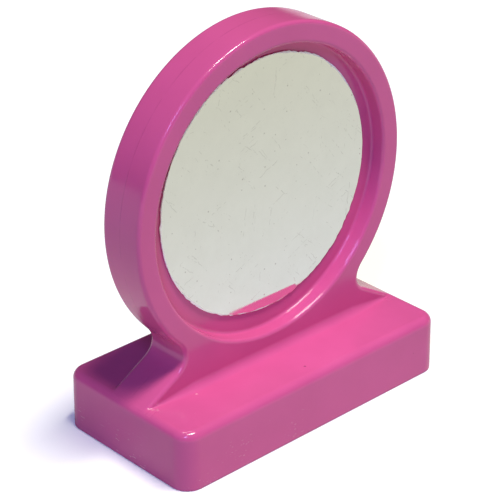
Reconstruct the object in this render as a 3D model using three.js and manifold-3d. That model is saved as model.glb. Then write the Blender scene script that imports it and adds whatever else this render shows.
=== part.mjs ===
// A small free-standing toy mirror: a round frame on a flared foot and an oblong hollow base, moulded
// in one piece, with a silver mirror foil stuck in the shallow recess of its front face.
// Millimetres, +Z up. The origin is the middle of the base's underside, and the mirror faces -Y.

import * as THREE from 'three';
import { mergeVertices } from 'three/addons/utils/BufferGeometryUtils.js';
import Module from 'manifold-3d';

const wasm = await Module();
wasm.setup();

// ---- Driving dimensions -------------------------------------------------------------------------

const BASE = { width: 31.8, depth: 16.3, height: 5.7, cornerRadius: 1.8, topRadius: 0.8 };
const DRAFT = THREE.MathUtils.degToRad(0.7);
const WALL = 1.6; // the hollow base's walls and top
const HOLLOW = { cornerRadius: 0.8, topRadius: 0.4 };

const FRAME = { radius: 15.6, centreZ: 21.3, thickness: 4.84, frontEdge: 0.35, backEdge: 0.6 };
const FOOT = {
  slope: THREE.MathUtils.degToRad(30),
  neckRadius: 2.3,
  creaseRadius: 0.8, // where the foot's faces meet the base, away from the tips
  creaseTaper: 5.5, // the crease sharpens over this length towards each tip
  tipShare: 0.1, // and keeps this share of its radius there
  rootZ: 3.2, // the plate runs down to this height inside the base
  rootInset: 0.5, // and this far in from the slope's end
};
const RECESS = { radius: 13.6, depth: 1.5, lipRadius: 0.3, floorRadius: 0.25 };

const FOIL = { radius: 12.05, thickness: 0.1, shiftX: 0.15, shiftZ: 0.3 };
const GLUE = { radius: 11.9, thickness: 0.05 };

const ARC_STEPS = 4; // facets in each quarter turn of a small rounding
const RING_STEP = THREE.MathUtils.degToRad(5); // one facet of the frame and the recesses
const LEAST_RADIUS = 0.1; // a corner's rounding never gets smaller than this
const OVERLAP = 1; // how far a joined or cut shape runs on past the surface that it meets

const FACE_Y = FRAME.thickness / 2;
const FLOOR_Y = FACE_Y - RECESS.depth;

// ---- Helpers ------------------------------------------------------------------------------------

/** Evenly spaced values from start to end, both included. */
function steps(start, end, count) {
  return Array.from({ length: count + 1 }, (_, i) => start + ((end - start) * i) / count);
}

/** A closed body from rows of points: each row is one outline, and flat fans close both ends. */
function loft(rows) {
  const size = rows[0].length;
  const points = rows.flat();
  const triangles = [];
  for (let row = 0; row < rows.length - 1; row += 1) {
    for (let i = 0; i < size; i += 1) {
      const a = row * size + i;
      const b = row * size + ((i + 1) % size);
      triangles.push(a, b, b + size, a, b + size, a + size);
    }
  }
  for (const [row, forward] of [[0, false], [rows.length - 1, true]]) {
    const middle = new THREE.Vector3();
    rows[row].forEach((point) => middle.addScaledVector(point, 1 / size));
    const centre = points.push(middle) - 1;
    for (let i = 0; i < size; i += 1) {
      const a = row * size + i;
      const b = row * size + ((i + 1) % size);
      triangles.push(...(forward ? [centre, a, b] : [centre, b, a]));
    }
  }
  const geometry = new THREE.BufferGeometry().setFromPoints(points);
  geometry.setIndex(triangles);
  return geometry;
}

/** A solid for joining and cutting, with its faces turned outwards whichever way the rows ran. */
function solid(geometry) {
  const bare = geometry.clone();
  bare.deleteAttribute('normal');
  bare.deleteAttribute('uv');
  const merged = mergeVertices(bare, 1e-5);
  const vertProperties = new Float32Array(merged.attributes.position.array);
  const triVerts = new Uint32Array(merged.index.array);
  if (signedVolume(vertProperties, triVerts) < 0) {
    for (let i = 0; i < triVerts.length; i += 3) {
      [triVerts[i], triVerts[i + 1]] = [triVerts[i + 1], triVerts[i]];
    }
  }
  return new wasm.Manifold(new wasm.Mesh({ numProp: 3, vertProperties, triVerts }));
}

function signedVolume(positions, triangles) {
  const corner = (i) => new THREE.Vector3().fromArray(positions, 3 * triangles[i]);
  let volume = 0;
  for (let i = 0; i < triangles.length; i += 3) {
    volume += corner(i).dot(corner(i + 1).cross(corner(i + 2))) / 6;
  }
  return volume;
}

function geometryOf(manifold) {
  const { vertProperties, triVerts } = manifold.getMesh();
  const geometry = new THREE.BufferGeometry();
  geometry.setAttribute('position', new THREE.BufferAttribute(new Float32Array(vertProperties), 3));
  geometry.setIndex(new THREE.BufferAttribute(new Uint32Array(triVerts), 1));
  geometry.computeVertexNormals();
  return geometry;
}

/** A rectangle with round corners, lying flat at height z. */
function roundedRectangle(halfX, halfY, radius, z) {
  const corners = [[1, 1], [-1, 1], [-1, -1], [1, -1]];
  return corners.flatMap(([signX, signY], quarter) =>
    steps((quarter * Math.PI) / 2, ((quarter + 1) * Math.PI) / 2, ARC_STEPS).map((angle) =>
      new THREE.Vector3(
        signX * (halfX - radius) + radius * Math.cos(angle),
        signY * (halfY - radius) + radius * Math.sin(angle),
        z,
      )));
}

/** A drafted block that stands on a rounded rectangle and has a rounded top edge. */
function draftedBlock({ halfX, halfY, cornerRadius, topRadius, bottom, top }) {
  const rows = [{ z: bottom, inset: bottom * Math.tan(DRAFT) }];
  for (const angle of steps(0, Math.PI / 2, ARC_STEPS)) {
    const z = top - topRadius * (1 - Math.sin(angle));
    rows.push({ z, inset: z * Math.tan(DRAFT) + topRadius * (1 - Math.cos(angle)) });
  }
  return loft(rows.map(({ z, inset }) =>
    roundedRectangle(halfX - inset, halfY - inset, Math.max(cornerRadius - inset, LEAST_RADIUS), z)));
}

// ---- Base ---------------------------------------------------------------------------------------

const baseBlock = () => draftedBlock({
  halfX: BASE.width / 2,
  halfY: BASE.depth / 2,
  cornerRadius: BASE.cornerRadius,
  topRadius: BASE.topRadius,
  bottom: 0,
  top: BASE.height,
});

/** The hollow under the base, open below. */
const baseHollow = () => draftedBlock({
  halfX: BASE.width / 2 - WALL,
  halfY: BASE.depth / 2 - WALL,
  cornerRadius: HOLLOW.cornerRadius,
  topRadius: HOLLOW.topRadius,
  bottom: -OVERLAP,
  top: BASE.height - WALL,
});

// ---- Frame and foot -----------------------------------------------------------------------------

/** Where the foot's straight slope starts and ends, and the arc that leads it into the round frame. */
function footShape() {
  const { slope, neckRadius } = FOOT;
  const out = new THREE.Vector2(Math.sin(slope), Math.cos(slope)); // square to the slope
  // The slope leaves the middle of the rounding along the base's end edge.
  const edgeCentre = new THREE.Vector2(
    BASE.width / 2 - BASE.height * Math.tan(DRAFT) - BASE.topRadius,
    BASE.height - BASE.topRadius,
  );
  const slopeEnd = edgeCentre.clone().addScaledVector(out, BASE.topRadius);
  // The neck arc's centre is neckRadius outside the slope and neckRadius outside the frame's circle.
  const reach = FRAME.radius + neckRadius;
  const height = slopeEnd.dot(out) + neckRadius - FRAME.centreZ * Math.cos(slope);
  const ringAngle = Math.acos(height / reach) - (Math.PI / 2 - slope);
  const neckCentre = new THREE.Vector2(
    reach * Math.cos(ringAngle),
    FRAME.centreZ - reach * Math.sin(ringAngle),
  );
  return { ringAngle, neckCentre, slopeEnd };
}

/** Points with outward normals along the right half of the outline, from the top down to the base. */
function halfOutline() {
  const { ringAngle, neckCentre, slopeEnd } = footShape();
  const path = [];
  const ringFacets = Math.round((Math.PI / 2 + ringAngle) / RING_STEP);
  for (const angle of steps(Math.PI / 2, -ringAngle, ringFacets)) {
    const normal = new THREE.Vector2(Math.cos(angle), Math.sin(angle));
    path.push({ normal, point: new THREE.Vector2(0, FRAME.centreZ).addScaledVector(normal, FRAME.radius) });
  }
  // Round the neck, the normal turns from the frame's to the slope's, and the arc's centre is outside.
  for (const angle of steps(-ringAngle, Math.PI / 2 - FOOT.slope, 2 * ARC_STEPS).slice(1)) {
    const normal = new THREE.Vector2(Math.cos(angle), Math.sin(angle));
    path.push({ normal, point: neckCentre.clone().addScaledVector(normal, -FOOT.neckRadius) });
  }
  const { normal } = path.at(-1);
  path.push({ normal, point: slopeEnd });
  const root = new THREE.Vector2(slopeEnd.x - FOOT.rootInset, FOOT.rootZ);
  path.push({ normal: new THREE.Vector2(1, 0), point: root });
  return path;
}

/** The upright plate: the round frame and its foot, before the recesses are cut. */
function framePlate() {
  const right = halfOutline();
  const left = right.slice(1).reverse().map(({ point, normal }) => ({
    point: new THREE.Vector2(-point.x, point.y),
    normal: new THREE.Vector2(-normal.x, normal.y),
  }));
  const outline = [...right, ...left];
  const rows = [];
  for (const angle of steps(0, Math.PI / 2, ARC_STEPS)) {
    rows.push({
      y: -FACE_Y + FRAME.frontEdge * (1 - Math.sin(angle)),
      inset: FRAME.frontEdge * (1 - Math.cos(angle)),
    });
    rows.push({
      y: FACE_Y - FRAME.backEdge * (1 - Math.sin(angle)),
      inset: FRAME.backEdge * (1 - Math.cos(angle)),
    });
  }
  rows.sort((a, b) => a.y - b.y);
  return loft(rows.map(({ y, inset }) => outline.map(({ point, normal }) =>
    new THREE.Vector3(point.x - inset * normal.x, y, point.y - inset * normal.y))));
}

/** The rounded crease where a face of the foot meets the base's top; it thins out towards its ends. */
function crease(side) {
  const tip = BASE.width / 2 - BASE.topRadius;
  const full = tip - FOOT.creaseTaper;
  const sections = [[-tip, FOOT.tipShare], [-full, 1], [full, 1], [tip, FOOT.tipShare]];
  return loft(sections.map(([x, share]) => {
    const radius = FOOT.creaseRadius * share;
    const cove = steps(0, Math.PI / 2, ARC_STEPS).map((angle) => new THREE.Vector3(
      x,
      side * (FACE_Y + radius * (1 - Math.cos(angle))),
      BASE.height + radius * (1 - Math.sin(angle)),
    ));
    const inner = new THREE.Vector3(x, side * (FACE_Y - OVERLAP), BASE.height - OVERLAP / 2);
    return [
      ...cove,
      new THREE.Vector3(x, side * FACE_Y, BASE.height - OVERLAP / 2),
      inner,
      new THREE.Vector3(x, inner.y, BASE.height + radius),
    ];
  }));
}

/** The round recess in one face of the frame: side is -1 for the front and 1 for the back. */
function recess(side) {
  const { radius, lipRadius, floorRadius } = RECESS;
  const profile = [new THREE.Vector2(0, side * FLOOR_Y)];
  for (const angle of steps(0, Math.PI / 2, ARC_STEPS)) {
    profile.push(new THREE.Vector2(
      radius - floorRadius * (1 - Math.sin(angle)),
      side * (FLOOR_Y + floorRadius * (1 - Math.cos(angle))),
    ));
  }
  for (const angle of steps(0, Math.PI / 2, ARC_STEPS)) {
    profile.push(new THREE.Vector2(
      radius + lipRadius * (1 - Math.cos(angle)),
      side * (FACE_Y - lipRadius * (1 - Math.sin(angle))),
    ));
  }
  profile.push(new THREE.Vector2(radius + lipRadius, side * (FACE_Y + OVERLAP)));
  profile.push(new THREE.Vector2(0, side * (FACE_Y + OVERLAP)));
  const geometry = new THREE.LatheGeometry(profile, Math.round((2 * Math.PI) / RING_STEP));
  geometry.translate(0, 0, FRAME.centreZ);
  return geometry;
}

function mouldedStand() {
  const outside = [framePlate(), crease(-1), crease(1)]
    .reduce((body, piece) => body.add(solid(piece)), solid(baseBlock()));
  const whole = [baseHollow(), recess(-1), recess(1)]
    .reduce((body, cutter) => body.subtract(solid(cutter)), outside);
  return geometryOf(whole);
}

// ---- Mirror foil --------------------------------------------------------------------------------

/** A thin disc that lies in the front recess, between two distances above its floor. */
function disc(radius, low, high) {
  const back = -FLOOR_Y - low;
  const front = -FLOOR_Y - high;
  const corners = [[0, front], [radius, front], [radius, back], [0, back]]
    .map(([r, y]) => new THREE.Vector2(r, y));
  return new THREE.LatheGeometry(corners, Math.round((2 * Math.PI) / RING_STEP));
}

// ---- Assembly -----------------------------------------------------------------------------------

const pinkPlastic = new THREE.MeshStandardMaterial({ color: 0xc44a8c, roughness: 0.28, metalness: 0 });
const silverFoil = new THREE.MeshStandardMaterial({ color: 0xd2d4cc, roughness: 0.08, metalness: 1 });
const clearGlue = new THREE.MeshStandardMaterial({ color: 0xd8d2c4, roughness: 0.6, metalness: 0 });

function named(name, geometry, material) {
  const mesh = new THREE.Mesh(geometry, material);
  mesh.name = name;
  return mesh;
}

const mirror = new THREE.Group();
mirror.add(named('moulded_stand', mouldedStand(), pinkPlastic));

const foilStack = new THREE.Group();
foilStack.position.set(FOIL.shiftX, 0, FRAME.centreZ + FOIL.shiftZ);
foilStack.add(named('foil_adhesive', disc(GLUE.radius, 0, GLUE.thickness), clearGlue));
foilStack.add(named(
  'mirror_foil',
  disc(FOIL.radius, GLUE.thickness, GLUE.thickness + FOIL.thickness),
  silverFoil,
));
mirror.add(foilStack);

export default mirror;
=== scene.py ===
# The looks of a small pink toy mirror. The stand's fine surface is worked out from a distance function,
# the mirror foil is cut as a ragged disc, and both lie where the CAD model has them.
from functools import reduce
import math

import bmesh
import bpy
import numpy as np
from mathutils import Matrix, Vector


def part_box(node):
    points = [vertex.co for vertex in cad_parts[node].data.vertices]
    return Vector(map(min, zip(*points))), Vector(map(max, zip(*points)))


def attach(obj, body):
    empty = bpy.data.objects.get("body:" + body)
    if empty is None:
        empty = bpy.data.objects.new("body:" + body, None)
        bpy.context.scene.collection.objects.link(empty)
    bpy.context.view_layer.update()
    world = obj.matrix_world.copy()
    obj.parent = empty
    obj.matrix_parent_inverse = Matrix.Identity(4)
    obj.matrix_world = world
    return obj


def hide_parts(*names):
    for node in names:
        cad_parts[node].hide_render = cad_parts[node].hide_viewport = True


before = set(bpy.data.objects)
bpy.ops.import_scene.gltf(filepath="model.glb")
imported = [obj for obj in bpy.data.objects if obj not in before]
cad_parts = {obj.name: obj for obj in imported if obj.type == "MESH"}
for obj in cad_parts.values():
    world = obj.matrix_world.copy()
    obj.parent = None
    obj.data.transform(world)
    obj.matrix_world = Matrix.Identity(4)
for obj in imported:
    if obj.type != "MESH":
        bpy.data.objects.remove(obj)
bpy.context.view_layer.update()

MM = 0.001  # shapes are worked out in millimetres and placed in metres

# ---- Sizes, in millimetres --------------------------------------------------------------------------


def box_mm(node):
    low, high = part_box(node)
    return np.array(low) / MM, np.array(high) / MM


STAND_LOW, STAND_HIGH = box_mm("moulded_stand")
FOIL_LOW, FOIL_HIGH = box_mm("mirror_foil")

BASE_HALF_X = STAND_HIGH[0]
BASE_HALF_Y = STAND_HIGH[1]
BASE_HEIGHT = 5.7
BASE_CORNER = 1.8
BASE_TOP_EDGE = 0.8
BASE_FOOT_EDGE = 0.12
DRAFT = math.tan(math.radians(0.7))
WALL = 1.6
HOLLOW_CORNER = 0.8
HOLLOW_EDGE = 0.4

RING_RADIUS = 15.6
RING_Z = STAND_HIGH[2] - RING_RADIUS
FACE_Y = 2.42
FRONT_EDGE = 0.35
BACK_EDGE = 0.6
FLOOR_Y = -box_mm("foil_adhesive")[1][1]  # the web's faces lie this far from the middle plane
RECESS_RADIUS = 13.6
RECESS_LIP = 0.3
RECESS_CORNER = 0.25

SLOPE = math.radians(30)
NECK_RADIUS = 2.3
CREASE_RADIUS = 0.8
CREASE_SHARE = 0.25  # near the tips, the crease's radius as a share of the foot's height there
LEAST_CREASE = 0.02

FOIL_RADIUS = (FOIL_HIGH[0] - FOIL_LOW[0]) / 2
FOIL_CENTRE = (FOIL_LOW + FOIL_HIGH) / 2


# ---- Camera -----------------------------------------------------------------------------------------


AZIMUTH = math.radians(-43.16)
ELEVATION = math.radians(27.40)
TARGET = (-0.81, 0, 15.25)
DISTANCE = 175.1
SENSOR_WIDTH = 36
FOCAL_LENGTH = 141.9


def add_camera():
    back = Vector((
        math.sin(AZIMUTH) * math.cos(ELEVATION),
        -math.cos(AZIMUTH) * math.cos(ELEVATION),
        math.sin(ELEVATION),
    ))
    data = bpy.data.cameras.new("camera")
    data.sensor_width = SENSOR_WIDTH
    data.lens = FOCAL_LENGTH
    data.clip_start, data.clip_end = 0.01, 10
    camera = bpy.data.objects.new("camera", data)
    camera.location = (Vector(TARGET) + back * DISTANCE) * MM
    camera.rotation_mode = "QUATERNION"
    camera.rotation_quaternion = (-back).to_track_quat("-Z", "Y")
    bpy.context.scene.collection.objects.link(camera)
    bpy.context.scene.camera = camera


# ---- The stand's surface, as a distance in millimetres that is zero on it and negative inside --------


def joined(a, b, radius):
    """Both bodies, with a hollow rounding of this radius where they meet."""
    u, v = np.maximum(radius - a, 0), np.maximum(radius - b, 0)
    return np.maximum(radius, np.minimum(a, b)) - np.hypot(u, v)


def common(a, b, radius):
    """What lies in both bodies, with its edge rounded to this radius."""
    u, v = np.maximum(a + radius, 0), np.maximum(b + radius, 0)
    return np.minimum(-radius, np.maximum(a, b)) + np.hypot(u, v)


def rounded_rectangle(x, y, half_x, half_y, corner):
    u, v = np.abs(x) - half_x + corner, np.abs(y) - half_y + corner
    return np.hypot(np.maximum(u, 0), np.maximum(v, 0)) + np.minimum(np.maximum(u, v), 0) - corner


def base_distance(x, y, z):
    side = rounded_rectangle(x, y, BASE_HALF_X, BASE_HALF_Y, BASE_CORNER) + z * DRAFT
    return common(common(side, z - BASE_HEIGHT, BASE_TOP_EDGE), -z, BASE_FOOT_EDGE)


def hollow_distance(x, y, z):
    side = rounded_rectangle(x, y, BASE_HALF_X - WALL, BASE_HALF_Y - WALL, HOLLOW_CORNER) + z * DRAFT
    return common(side, z - BASE_HEIGHT + WALL, HOLLOW_EDGE)


def slope_line():
    """The foot's slope touches the rounding along the base's end edge: a point on it, and its normal."""
    normal = np.array([math.sin(SLOPE), math.cos(SLOPE)])
    centre = np.array([BASE_HALF_X - BASE_HEIGHT * DRAFT - BASE_TOP_EDGE, BASE_HEIGHT - BASE_TOP_EDGE])
    return centre + BASE_TOP_EDGE * normal, normal


def plate_distance(x, y, z):
    (end_x, end_z), (normal_x, normal_z) = slope_line()
    ring = np.hypot(x, z - RING_Z) - RING_RADIUS
    foot = (np.abs(x) - end_x) * normal_x + (z - end_z) * normal_z
    foot = np.maximum(foot, np.abs(x) - end_x)
    outline = joined(ring, foot, NECK_RADIUS)
    face = np.abs(y) - FACE_Y
    return np.where(y < 0, common(outline, face, FRONT_EDGE), common(outline, face, BACK_EDGE))


def recess_distance(x, y, z):
    return common(np.hypot(x, z - RING_Z) - RECESS_RADIUS, FLOOR_Y - np.abs(y), RECESS_CORNER)


def stand_distance(points):
    x, y, z = points.T
    end_x = slope_line()[0][0]
    step = (end_x - np.abs(x)) * math.tan(SLOPE)  # how far the foot stands above the base there
    crease = np.clip(CREASE_SHARE * step, LEAST_CREASE, CREASE_RADIUS)
    body = joined(plate_distance(x, y, z), base_distance(x, y, z), crease)
    body = common(body, -recess_distance(x, y, z), RECESS_LIP)
    return common(body, -hollow_distance(x, y, z), BASE_FOOT_EDGE)


SLOPE_REACH = 0.002  # how far to each side a slope is felt for
LEAST_SLOPE = 0.05  # of its square, so that a flat spot doesn't throw a point far off
LONGEST_MOVE = 0.2


def gradient(points):
    slopes = []
    for axis in range(3):
        shift = np.zeros(3)
        shift[axis] = SLOPE_REACH
        slopes.append((stand_distance(points + shift) - stand_distance(points - shift)) / (2 * SLOPE_REACH))
    return np.stack(slopes, 1)


def settle(points, rounds):
    """Moves points straight onto the surface."""
    for _ in range(rounds):
        slope = gradient(points)
        length = np.maximum((slope**2).sum(1), LEAST_SLOPE)
        move = slope * (stand_distance(points) / length)[:, None]
        points = points - np.clip(move, -LONGEST_MOVE, LONGEST_MOVE)
    return points


# ---- Mesh helpers -----------------------------------------------------------------------------------


def vertex_array(mesh):
    points = np.empty(3 * len(mesh.vertices), np.float32)
    mesh.vertices.foreach_get("co", points)
    return points.reshape(-1, 3).astype(float)


def write_vertices(mesh, points):
    mesh.vertices.foreach_set("co", points.astype(np.float32).ravel())
    mesh.update()


def relax(mesh, rounds):
    """Evens out the vertices along the surface."""
    pairs = np.empty(2 * len(mesh.edges), np.int32)
    mesh.edges.foreach_get("vertices", pairs)
    pairs = pairs.reshape(-1, 2)
    points = vertex_array(mesh)
    count = np.bincount(pairs.ravel(), minlength=len(points))[:, None]
    for _ in range(rounds):
        total = np.zeros_like(points)
        for axis in range(3):
            total[:, axis] += np.bincount(pairs[:, 0], points[pairs[:, 1], axis], len(points))
            total[:, axis] += np.bincount(pairs[:, 1], points[pairs[:, 0], axis], len(points))
        points = settle(points + 0.5 * (total / count - points), 2)
    write_vertices(mesh, points)


def applied(obj, kind, **settings):
    """Runs one modifier on an object and keeps its result as the mesh."""
    modifier = obj.modifiers.new(kind.lower(), kind)
    for name, value in settings.items():
        setattr(modifier, name, value)
    evaluated = obj.evaluated_get(bpy.context.evaluated_depsgraph_get())
    mesh = bpy.data.meshes.new_from_object(evaluated)
    obj.modifiers.clear()
    old, obj.data = obj.data, mesh
    bpy.data.meshes.remove(old)


# ---- Stand ------------------------------------------------------------------------------------------

GRID = 0.17  # the first even mesh's spacing
KEPT_SHARE = 0.36  # of its triangles


def make_stand():
    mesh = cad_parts["moulded_stand"].data.copy()
    write_vertices(mesh, vertex_array(mesh) / MM)
    mesh.materials.clear()
    stand = bpy.data.objects.new("stand", mesh)
    bpy.context.scene.collection.objects.link(stand)
    applied(stand, "REMESH", mode="VOXEL", voxel_size=GRID, adaptivity=0)
    write_vertices(stand.data, settle(vertex_array(stand.data), 5))
    relax(stand.data, 4)
    applied(stand, "DECIMATE", ratio=KEPT_SHARE)
    points = np.clip(settle(vertex_array(stand.data), 3), STAND_LOW, STAND_HIGH)
    normals = gradient(points)
    normals /= np.linalg.norm(normals, axis=1)[:, None]
    write_vertices(stand.data, points * MM)
    stand.data.shade_smooth()
    stand.data.normals_split_custom_set_from_vertices(normals)
    return stand


# ---- Mirror foil ------------------------------------------------------------------------------------

OUTLINE_STEPS = 1080
FOIL_RINGS = 40
RING_POWER = 0.7  # below 1, the rings of points crowd a little towards the edge
SPARE = 0.02  # the film is cut this much larger than the plain disc
TEAR_DEPTH = 0.144  # how far the roughest stretches of the edge wander
SMOOTHEST = 0.15  # and the even ones, as a share of it
RAGGED_STRETCHES = ((115, 22), (68, 10), (-35, 14), (-115, 6), (-140, 5), (175, 9), (-75, 10))
SWAY = 0.05  # the slow unevenness of the cut
BULGE = 0.17  # how far the disc, cut by hand, swells towards the upper left
BULGE_TURN = math.radians(145)
CURL = 0.004  # how far the torn edge lifts off the adhesive
CURL_START = 0.965  # the share of the radius where it starts to lift
WAVE = 0.0012  # the film's unevenness
RIM_ANGLE = math.radians(40)  # edges sharper than this aren't shaded smooth


def smooth_noise(rng, count, knots):
    """A closed wavy sequence in -1..1 with this many random knots round the circle."""
    values = rng.uniform(-1, 1, knots)
    place = np.arange(count) * knots / count
    low = place.astype(int)
    blend = place - low
    blend = blend * blend * (3 - 2 * blend)
    return values[low % knots] * (1 - blend) + values[(low + 1) % knots] * blend


def foil_outline(rng):
    """The torn disc's radius and raggedness round its edge: mostly even, rough in a few stretches.

    A stretch is the direction of its middle and its half-width, both in degrees.
    """
    angle = np.arange(OUTLINE_STEPS) * 2 * math.pi / OUTLINE_STEPS
    ragged = np.zeros(OUTLINE_STEPS)
    for centre, spread in RAGGED_STRETCHES:
        away = np.angle(np.exp(1j * (angle - math.radians(centre))))
        ragged += np.exp(-((away / math.radians(spread)) ** 2))
    ragged = SMOOTHEST + (1 - SMOOTHEST) * np.clip(ragged, 0, 1)
    fringe = 0.5 * smooth_noise(rng, OUTLINE_STEPS, 260) + 0.5 * smooth_noise(rng, OUTLINE_STEPS, 110)
    sway = SWAY * smooth_noise(rng, OUTLINE_STEPS, 14)
    bulge = BULGE * np.clip(0.25 + 0.75 * np.cos(angle - BULGE_TURN), 0, 1)
    return angle, FOIL_RADIUS + SPARE + bulge + sway + TEAR_DEPTH * fringe * ragged, ragged


def film_front():
    """Rings of points on the film's front face, from near the middle out to the torn edge."""
    angle, radius, ragged = foil_outline(np.random.default_rng(7))
    share = np.linspace(0, 1, FOIL_RINGS + 1)[1:] ** RING_POWER
    x = np.outer(share, radius * np.cos(angle))
    z = np.outer(share, radius * np.sin(angle))
    wave = np.sin(0.55 * x + 0.4) * np.cos(0.48 * z) + 0.6 * np.sin(0.9 * z + 0.5 * x)
    edge = np.clip((share - CURL_START) / (1 - CURL_START), 0, 1) ** 2
    front = FOIL_LOW[1] - WAVE * wave * (1 - share[:, None] ** 4) - CURL * np.outer(edge, ragged)
    return np.stack((FOIL_CENTRE[0] + x, front, FOIL_CENTRE[2] + z), 2)


def make_foil():
    rings = film_front()
    builder = bmesh.new()
    loops = [[builder.verts.new(point) for point in ring] for ring in rings]
    thick = Vector((0, FOIL_HIGH[1] - FOIL_LOW[1], 0))
    back = [builder.verts.new(vertex.co + thick) for vertex in loops[-1]]
    loops.append(back)
    middle = builder.verts.new((FOIL_CENTRE[0], rings[0, :, 1].mean(), FOIL_CENTRE[2]))
    heart = builder.verts.new((FOIL_CENTRE[0], FOIL_HIGH[1], FOIL_CENTRE[2]))
    for i in range(OUTLINE_STEPS):
        j = (i + 1) % OUTLINE_STEPS
        for inner, outer in zip(loops, loops[1:]):
            builder.faces.new((inner[i], inner[j], outer[j], outer[i]))
        builder.faces.new((middle, loops[0][j], loops[0][i]))
        builder.faces.new((heart, back[i], back[j]))
    bmesh.ops.recalc_face_normals(builder, faces=builder.faces)
    bmesh.ops.scale(builder, vec=(MM,) * 3, verts=builder.verts)
    mesh = bpy.data.meshes.new("mirror_film")
    builder.to_mesh(mesh)
    builder.free()
    mesh.shade_smooth()
    mesh.set_sharp_from_angle(angle=RIM_ANGLE)
    film = bpy.data.objects.new("mirror_film", mesh)
    bpy.context.scene.collection.objects.link(film)
    return film


# ---- Materials --------------------------------------------------------------------------------------


class Recipe:
    """A material's node tree, written as plain calls. Places are in millimetres of the object."""

    def __init__(self, name):
        self.material = bpy.data.materials.new(name)
        self.material.use_nodes = True
        self.tree = self.material.node_tree
        self.shader = self.tree.nodes["Principled BSDF"]
        place = self.tree.nodes.new("ShaderNodeTexCoord").outputs["Object"]
        self.place = self.vector("MULTIPLY", place, (1 / MM,) * 3)

    def add(self, kind, inputs, output=0, **settings):
        node = self.tree.nodes.new(kind)
        for name, value in settings.items():
            setattr(node, name, value)
        for name, value in inputs.items():
            self.feed(node.inputs[name], value)
        return node.outputs[output]

    def feed(self, socket, value):
        if isinstance(value, bpy.types.NodeSocket):
            self.tree.links.new(value, socket)
        else:
            socket.default_value = value

    def math(self, operation, a, b=0.0, clamp=False):
        return self.add("ShaderNodeMath", {0: a, 1: b}, operation=operation, use_clamp=clamp)

    def vector(self, operation, a, b):
        return self.add("ShaderNodeVectorMath", {0: a, 1: b}, operation=operation)

    def axis(self, name):
        return self.add("ShaderNodeSeparateXYZ", {0: self.place}, output=name)

    def turned(self, degrees, stretch, offset=(0, 0, 0)):
        turn = tuple(math.radians(d) for d in degrees)
        inputs = {"Vector": self.place, "Location": offset, "Rotation": turn, "Scale": stretch}
        return self.add("ShaderNodeMapping", inputs)

    def flat(self, offset, degrees, cell):
        """Places on the mirror's plane, turned, and measured in cells of this length and width."""
        across = self.add("ShaderNodeCombineXYZ", {"X": self.axis("X"), "Y": self.axis("Z")})
        inputs = {
            "Vector": across,
            "Location": (*offset, 0),
            "Rotation": (0, 0, math.radians(degrees)),
            "Scale": (*cell, 1),
        }
        return self.add("ShaderNodeMapping", inputs, vector_type="TEXTURE")

    def noise(self, scale, detail=2.0, place=None, rough=0.5):
        inputs = {"Vector": place or self.place, "Scale": scale, "Detail": detail, "Roughness": rough}
        return self.add("ShaderNodeTexNoise", inputs)

    def ramp(self, value, low, high, to_low=0.0, to_high=1.0):
        """A straight ramp from low..high to to_low..to_high, held flat beyond its ends."""
        inputs = {"Value": value, "From Min": low, "From Max": high, "To Min": to_low, "To Max": to_high}
        return self.add("ShaderNodeMapRange", inputs)

    def product(self, *masks):
        return reduce(lambda a, b: self.math("MULTIPLY", a, b), masks)

    def strayed(self, place, scale, reach):
        """Places shifted by noise, so that what is laid on them bends and isn't round."""
        inputs = {"Vector": self.place, "Scale": scale, "Detail": 1.0}
        shift = self.add("ShaderNodeTexNoise", inputs, output="Color")
        return self.vector("ADD", place, self.vector("MULTIPLY", shift, (reach,) * 3))

    def flecks(self, scale, size, share, place=None, flat=False):
        """Small scattered spots: one in some of the cells, each of its own size."""
        node = self.tree.nodes.new("ShaderNodeTexVoronoi")
        node.voronoi_dimensions = "2D" if flat else "3D"
        self.feed(node.inputs["Vector"], place or self.place)
        self.feed(node.inputs["Scale"], scale)
        chance = self.add("ShaderNodeSeparateColor", {0: node.outputs["Color"]})
        reach = self.ramp(chance, 1 - share, 1, 0, size)
        return self.ramp(self.math("SUBTRACT", reach, node.outputs["Distance"]), 0, 0.35 * size)

    def mix(self, factor, a, b):
        node = self.tree.nodes.new("ShaderNodeMix")
        node.data_type = "RGBA"
        sockets = [socket for socket in node.inputs if socket.enabled]
        for socket, value in zip(sockets, (factor, a, b)):
            self.feed(socket, value)
        return next(socket for socket in node.outputs if socket.enabled)

    def bump(self, height, strength, distance_mm):
        inputs = {"Height": height, "Strength": strength, "Distance": distance_mm * MM}
        self.feed(self.shader.inputs["Normal"], self.add("ShaderNodeBump", inputs))

    def set(self, **values):
        for name, value in values.items():
            self.feed(self.shader.inputs[name.replace("_", " ")], value)


DEEP_PINK, LIGHT_PINK = (0.64, 0.094, 0.275, 1), (0.69, 0.104, 0.3, 1)
DUST, DIRT, SEAM_PINK = (0.86, 0.6, 0.6, 1), (0.2, 0.025, 0.08, 1), (0.4, 0.05, 0.17, 1)


def lint(r, left_half):
    """Short fibres on the lower part of the base's left half, thickest in a few patches."""
    lying = r.strayed(r.turned((0, 25, 0), (1.6, 1, 5)), 1.6, 1.2)
    crossing = r.strayed(r.turned((0, -50, 0), (1.8, 1, 5.5), (3, 1, 2)), 1.6, 1.2)
    fibres = r.math("MAXIMUM", r.flecks(1, 0.3, 0.8, lying), r.flecks(1, 0.28, 0.7, crossing))
    low = r.ramp(r.axis("Z"), 3.8, 0.4)
    patch = r.ramp(r.noise(0.22, 2, r.turned((0, 0, 0), (1, 1, 1), (3, 0, 0))), 0.42, 0.56)
    return r.product(fibres, left_half, low, patch)


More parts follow.
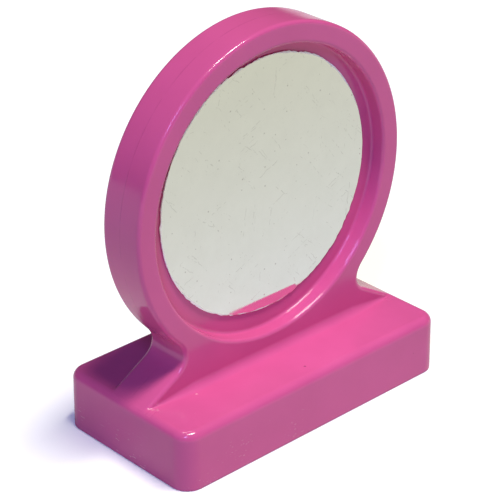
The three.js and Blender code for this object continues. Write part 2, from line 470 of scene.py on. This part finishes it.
def beside_crease(r):
    """A mask for the strip of the base's top along the front crease."""
    beside = r.ramp(r.math("ABSOLUTE", r.math("ADD", r.axis("Y"), FACE_Y + 0.5)), 0.7, 0.2)
    on_top = r.ramp(r.math("ABSOLUTE", r.math("SUBTRACT", r.axis("Z"), BASE_HEIGHT + 0.1)), 0.45, 0.25)
    return r.product(beside, on_top)


def parting_line(r):
    """A mask for the mould's worn parting line, round the middle of the plate's edge."""
    line = r.ramp(r.math("ABSOLUTE", r.axis("Y")), 0.09, 0.02)
    above_base = r.ramp(r.axis("Z"), 5.8, 6.4)
    worn = r.ramp(r.noise(0.5, 2), 0.42, 0.6)
    return r.product(line, above_base, worn)


def pink_plastic():
    """Glossy moulded polystyrene: slightly clouded, handled, dusty near the foot, with a parting line."""
    r = Recipe("pink_plastic")
    wavy = r.strayed(r.place, 2.2, 0.5)
    left_half = r.ramp(r.axis("X"), 1, -5)
    crease = beside_crease(r)
    seam = parting_line(r)
    tips = r.product(crease, r.ramp(r.math("ABSOLUTE", r.axis("X")), 13.2, 14.4))
    residue = r.product(r.flecks(2.4, 0.5, 0.45, wavy), tips)
    crumbs = r.product(r.flecks(1.8, 0.3, 0.5, wavy), crease, left_half)
    stray = r.flecks(0.5, 0.05, 0.25, wavy)
    dust = r.math("MAXIMUM", r.math("MAXIMUM", lint(r, left_half), crumbs), stray, clamp=True)
    dirt = r.flecks(0.4, 0.06, 0.35)
    scratches = r.flecks(1.0, 0.07, 0.5, r.turned((20, 35, 15), (0.5, 5, 3)))
    knocks = r.flecks(0.45, 0.09, 0.2, wavy)

    pink = r.mix(r.ramp(r.noise(0.16, 3), 0.3, 0.7), DEEP_PINK, LIGHT_PINK)
    for mask, strength, colour in (
        (residue, 0.25, DUST),
        (dust, 0.42, DUST),
        (dirt, 0.6, DIRT),
        (seam, 0.28, SEAM_PINK),
    ):
        pink = r.mix(r.math("MULTIPLY", mask, strength), pink, colour)

    rough = r.ramp(r.noise(0.35, 4, None, 0.6), 0.35, 0.7, 0.1, 0.2)
    rough = r.math("ADD", rough, r.math("MULTIPLY", r.math("MAXIMUM", dust, scratches), 0.2))
    rough = r.math("ADD", rough, r.math("MULTIPLY", tips, 0.15))

    peel = r.math("MULTIPLY", r.noise(1.1, 2), 0.25)
    raised = r.math("ADD", peel, r.math("MULTIPLY", seam, 0.5))
    sunk = r.math("MULTIPLY", r.math("MAXIMUM", scratches, knocks), 0.4)
    r.bump(r.math("SUBTRACT", raised, sunk), 0.5, 0.03)
    r.set(Base_Color=pink, Roughness=rough, IOR=1.5)
    return r.material


# Painted reflection colours for the film's foot and its top.
LOW_PAINTED_REFLECTION, HIGH_PAINTED_REFLECTION = (0.93, 0.95, 0.88, 1), (0.82, 0.82, 0.64, 1)
DULL_SILVER, SPECK, TORN_WHITE = (0.6, 0.6, 0.5, 1), (0.22, 0.2, 0.16, 1), (0.93, 0.93, 0.9, 1)
SCRATCH_TURNS = (25, -52, 82, 140)  # degrees; each set of scratches has its own offset
SCRATCH_OFFSETS = ((1, 2), (4, 7), (9, 3), (2, 8))


def film_marks(r):
    """Specks of two sizes and hairline scratches in a few directions."""
    specks = r.flecks(0.75, 0.075, 0.5, r.flat((0, 0), 0, (1, 1)), True)
    fine = r.flecks(2.2, 0.1, 0.2, r.flat((3, 5), 0, (1, 1)), True)
    marks = r.math("MAXIMUM", r.math("MULTIPLY", specks, 0.6), r.math("MULTIPLY", fine, 0.3))
    for turn, offset in zip(SCRATCH_TURNS, SCRATCH_OFFSETS):
        place = r.strayed(r.flat(offset, turn, (6, 0.3)), 1.6, 1.2)
        scratch = r.flecks(1, 0.15, 0.22, place, True)
        marks = r.math("MAXIMUM", marks, r.math("MULTIPLY", scratch, 0.34))
    return marks


def torn_fringe(r):
    """A mask for the white rim of the film, except at the lower right, where it is cut clean."""
    out = r.vector("SUBTRACT", r.place, tuple(FOIL_CENTRE))
    reach = r.add("ShaderNodeVectorMath", {0: out}, output="Value", operation="LENGTH")
    towards = (math.cos(BULGE_TURN), 0, math.sin(BULGE_TURN))
    along = r.add("ShaderNodeVectorMath", {0: out, 1: towards}, output="Value", operation="DOT_PRODUCT")
    bulge = r.ramp(along, -FOIL_RADIUS / 3, FOIL_RADIUS, 0, BULGE)
    frayed = r.math("ADD", r.math("SUBTRACT", reach, bulge), r.ramp(r.noise(0.7, 3), 0.3, 0.7, -0.1, 0.04))
    torn = r.ramp(frayed, FOIL_RADIUS - 0.12, FOIL_RADIUS - 0.04)
    neat = r.math("SUBTRACT", r.math("MULTIPLY", r.axis("Z"), 0.6), r.axis("X"))
    return r.math("MULTIPLY", torn, r.ramp(neat, 3, 6))


def mirror_film():
    """Aluminised film: hazy, finely speckled and scratched, white where its edge is torn, and with a
    painted reflection that grows darker and yellower towards the top.
    """
    r = Recipe("mirror_film")
    marks = film_marks(r)
    torn = torn_fringe(r)
    # Painted reflection: lighter at the film's foot, darker and yellower towards its top, as the floor it
    # mirrors dims further off.
    silver = r.mix(r.ramp(r.axis("Z"), FOIL_LOW[2], FOIL_HIGH[2]), LOW_PAINTED_REFLECTION, HIGH_PAINTED_REFLECTION)
    mottle = r.ramp(r.noise(0.5, 5, None, 0.65), 0.35, 0.7)
    silver = r.mix(r.math("MULTIPLY", mottle, 0.12), silver, DULL_SILVER)
    silver = r.mix(r.math("MULTIPLY", marks, 0.7), silver, SPECK)
    silver = r.mix(torn, silver, TORN_WHITE)
    rough = r.ramp(r.noise(0.4, 3), 0.35, 0.7, 0.03, 0.07)
    rough = r.math("ADD", rough, r.math("MULTIPLY", marks, 0.3))
    rough = r.math("ADD", rough, r.math("MULTIPLY", torn, 0.5))
    r.bump(r.math("SUBTRACT", r.noise(0.6, 3), r.math("MULTIPLY", marks, 0.3)), 0.06, 0.02)
    r.set(Base_Color=silver, Metallic=r.math("SUBTRACT", 1, torn), Roughness=rough)
    return r.material


def adhesive():
    """A thin coat of amber contact adhesive, uneven and slightly tacky."""
    r = Recipe("foil_adhesive")
    tone = r.ramp(r.noise(0.8, 4), 0.35, 0.65)
    amber = r.mix(tone, (0.55, 0.4, 0.2, 1), (0.72, 0.6, 0.38, 1))
    r.bump(r.noise(3, 3), 0.4, 0.05)
    r.set(Base_Color=amber, Roughness=r.ramp(tone, 0, 1, 0.3, 0.5), IOR=1.48)
    return r.material


def pale_floor():
    """Matt white card, which the camera sees brighter than it lights the object."""
    r = Recipe("pale_floor")
    tone = r.ramp(r.noise(0.02, 3), 0.3, 0.7)
    card = r.mix(tone, (0.62, 0.63, 0.63, 1), (0.64, 0.65, 0.65, 1))
    seen = r.add("ShaderNodeLightPath", {}, output="Is Camera Ray")
    r.set(Base_Color=r.mix(seen, card, (0.98, 0.98, 0.98, 1)), Roughness=0.9)
    r.set(Emission_Color=(0.8, 0.86, 1, 1), Emission_Strength=r.ramp(seen, 0, 1, 0, 0.12))
    return r.material


def dress(obj, material):
    slots = obj.data.materials
    if not slots:
        slots.append(material)
    for index in range(len(slots)):
        slots[index] = material


# ---- Stage ------------------------------------------------------------------------------------------


FLOOR_HALF = 12  # metres
OVERHEAD = {
    "direction": (0.12, -0.24, 0.96),
    "along": (1, 0, 0),
    "size": (3.4, 1.4),
    "glow": 44,
    "colour": (1.0, 0.98, 0.84),
}
WINDOW = {"along": (0.7, 0, 0.7), "size": (0.75, 0.75), "glow": 51, "colour": (0.36, 0.38, 1.0)}
WINDOW_MIDDLE = Vector((-0.573, -0.457, 0.68))
WINDOW_SPACING = 0.1
PANEL_DISTANCE = 8  # metres
ROOM_LIGHT, ROOM_STRENGTH = (0.8, 0.85, 1, 1), 0.06
BACKDROP = (0.95, 0.95, 0.95, 1)


def add_floor():
    half = FLOOR_HALF
    mesh = bpy.data.meshes.new("floor")
    corners = [(-half, -half, 0), (half, -half, 0), (half, half, 0), (-half, half, 0)]
    mesh.from_pydata(corners, [], [(0, 1, 2, 3)])
    floor = bpy.data.objects.new("floor", mesh)
    bpy.context.scene.collection.objects.link(floor)
    dress(floor, pale_floor())


def add_panel(name, direction, along, size, glow, colour):
    """A flat light aimed at the object: its long side's direction, size in metres, and radiance."""
    data = bpy.data.lights.new(name, "AREA")
    data.shape = "RECTANGLE"
    data.size, data.size_y = size
    data.energy = glow * math.pi * size[0] * size[1]
    data.color = colour
    lamp = bpy.data.objects.new(name, data)
    toward = Vector(direction).normalized()
    side = Vector(along)
    side = (side - toward * side.dot(toward)).normalized()
    lamp.location = toward * PANEL_DISTANCE
    lamp.rotation_mode = "QUATERNION"
    lamp.rotation_quaternion = Matrix((side, toward.cross(side), toward)).transposed().to_quaternion()
    bpy.context.scene.collection.objects.link(lamp)


def add_lights():
    """A long warm light overhead, and three panes of a bluish window in a row at the front left."""
    add_panel("overhead", **OVERHEAD)
    for step in (-1, 0, 1):
        direction = WINDOW_MIDDLE + WINDOW_SPACING * step * Vector(WINDOW["along"])
        add_panel("window", direction, **WINDOW)


def add_world():
    """Dim cool room light on the object; a pale backdrop where the camera looks past the floor."""
    world = bpy.data.worlds.new("room")
    world.use_nodes = True
    nodes, links = world.node_tree.nodes, world.node_tree.links
    lit = nodes["Background"]
    lit.inputs["Color"].default_value = ROOM_LIGHT
    lit.inputs["Strength"].default_value = ROOM_STRENGTH
    seen = nodes.new("ShaderNodeBackground")
    seen.inputs["Color"].default_value = BACKDROP
    mix = nodes.new("ShaderNodeMixShader")
    links.new(nodes.new("ShaderNodeLightPath").outputs["Is Camera Ray"], mix.inputs[0])
    links.new(lit.outputs[0], mix.inputs[1])
    links.new(seen.outputs[0], mix.inputs[2])
    links.new(mix.outputs[0], nodes["World Output"].inputs["Surface"])
    bpy.context.scene.world = world


# ---- Build ------------------------------------------------------------------------------------------

stand = make_stand()
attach(stand, "root")
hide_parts("moulded_stand")
dress(stand, pink_plastic())

film = make_foil()
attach(film, "root")
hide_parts("mirror_foil")
dress(film, mirror_film())

dress(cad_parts["foil_adhesive"], adhesive())

add_floor()
add_lights()
add_world()
add_camera()
bpy.context.scene.view_settings.view_transform = "Standard"
